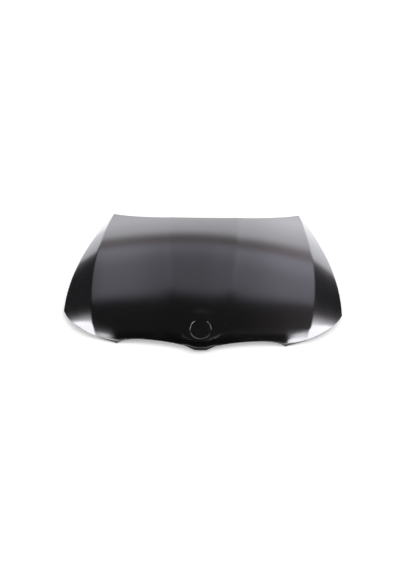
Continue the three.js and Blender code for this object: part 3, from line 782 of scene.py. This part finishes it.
def studio_world():
    """White for the camera, even soft light on the panel, and the studio in the gloss."""
    world = bpy.data.worlds.new("studio")
    bpy.context.scene.world = world
    world.use_nodes = True
    finish = Finish(world.node_tree)
    path = finish.node("ShaderNodeLightPath")
    plain = finish.mix(path.outputs["Is Camera Ray"], grey(PLAIN_LIGHT), grey(1.0))
    plain = finish.mix(path.outputs["Is Transmission Ray"], plain, grey(1.0))
    seen = finish.mix(path.outputs["Is Glossy Ray"], plain, mirrored_studio(finish))
    shader = finish.node("ShaderNodeBackground", None, {"Color": seen, "Strength": 1.0})
    finish.node("ShaderNodeOutputWorld", None, {"Surface": shader.outputs[0]})


# The floor, the card and the lamp, in metres

FLOOR_HALF = 12
FLOOR_COLOUR = 0.88
FLOOR_LIFT = 0.27
FLOOR_GLOSS = 0.3
STRIP_GLOW = 9.0
STRIP_GLOW_ACROSS = (0.66, 0.74)
STRIP_GLOW_ALONG = (-0.5, -0.35)
WALL_GLOW = 1.6
WALL_GLOW_ALONG = (0.3, 0.7)
CARD_WIDTH = 0.68
CARD_HEIGHT = 0.46
CARD_Y = -0.7
CARD_LIFT = 0.001
KEY_PLACE = (1.8, 0.4, 4.0)
KEY_ENERGY = 0.9
KEY_ANGLE = math.radians(40)


def painted_floor_light(finish):
    """Painted light that the floor shows in the gloss: an even glow, and glowing pools where the
    wall and strips would light a real floor.
    """
    place = finish.node("ShaderNodeTexCoord").outputs["Object"]
    ways = finish.node("ShaderNodeSeparateXYZ", None, {0: place})
    across, along = [Value(finish, socket) for socket in ways.outputs[:2]]
    strips = abs(across).between(*STRIP_GLOW_ACROSS) * (1 - along.between(*STRIP_GLOW_ALONG))
    return FLOOR_GLOSS + STRIP_GLOW * strips + WALL_GLOW * along.between(*WALL_GLOW_ALONG)


def studio_floor():
    """A pale floor that keeps the shadow, lifted to white for the camera."""
    bm = bmesh.new()
    bmesh.ops.create_grid(bm, x_segments=1, y_segments=1, size=FLOOR_HALF)
    floor = make_object("studio_floor", bm)
    material, finish = new_finish("white_floor")
    path = finish.node("ShaderNodeLightPath")
    diffuse = finish.node("ShaderNodeBsdfDiffuse", None, {"Color": grey(FLOOR_COLOUR)})
    seen = Value(finish, path.outputs["Is Camera Ray"])
    # Painted light: the floor glows only for glossy rays, as if lit by the wall and strips.
    mirrored = Value(finish, path.outputs["Is Glossy Ray"]) * painted_floor_light(finish)
    inputs = {"Color": grey(1.0), "Strength": FLOOR_LIFT * seen + mirrored}
    lift = finish.node("ShaderNodeEmission", None, inputs)
    both = finish.node("ShaderNodeAddShader", None, {0: diffuse.outputs[0], 1: lift.outputs[0]})
    finish.node("ShaderNodeOutputMaterial", None, {"Surface": both.outputs[0]})
    floor.data.materials.append(material)


def dark_card():
    """A black card ahead of the nose, there only for what the gloss mirrors."""
    bm = bmesh.new()
    bmesh.ops.create_grid(bm, x_segments=1, y_segments=1, size=1)
    bmesh.ops.scale(bm, vec=(CARD_WIDTH / 2, CARD_HEIGHT / 2, 1), verts=bm.verts)
    bmesh.ops.rotate(bm, matrix=Matrix.Rotation(math.radians(-90), 3, "X"), verts=bm.verts)
    bmesh.ops.translate(bm, vec=(0, CARD_Y, CARD_HEIGHT / 2 + CARD_LIFT), verts=bm.verts)
    card = make_object("dark_card", bm)
    material, finish = new_finish("black_card")
    black = finish.node("ShaderNodeBsdfDiffuse", None, {"Color": grey(0.0)})
    finish.node("ShaderNodeOutputMaterial", None, {"Surface": black.outputs[0]})
    card.data.materials.append(material)
    card.visible_camera = False
    card.visible_diffuse = False
    card.visible_transmission = False
    card.visible_shadow = False


def soft_key():
    """One wide, weak sun from the right, for the diffuse light and the shadow alone."""
    data = bpy.data.lights.new("soft_key", "SUN")
    data.energy = KEY_ENERGY
    data.angle = KEY_ANGLE
    key = bpy.data.objects.new("soft_key", data)
    key.location = KEY_PLACE
    key.rotation_euler = (-Vector(KEY_PLACE)).to_track_quat("-Z", "Y").to_euler()
    key.visible_camera = False
    key.visible_glossy = False
    bpy.context.scene.collection.objects.link(key)


# The dressed bonnet in its studio

PRESSING_CORNER = 32
PLATE_CORNER = 30
MASTIC_CORNER = 40


def dress_fittings():
    """Zinc on the plates and nuts, and mastic on the pads."""
    zinc = zinc_plate()
    mastic = cured_mastic()
    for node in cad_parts:
        if node.startswith("mastic"):
            pressed_copy(node, node.replace("pad", "bead"), mastic, MASTIC_CORNER)
        elif "plate" in node or "nut" in node:
            pressed_copy(node, node + "_plated", zinc, PLATE_CORNER)


place_camera()
studio_world()
studio_floor()
dark_card()
soft_key()
outer_panel()
pressed_copy("inner_frame", "inner_pressing", dip_coat(), PRESSING_CORNER)
dress_fittings()

bpy.context.scene.view_settings.view_transform = "Standard"
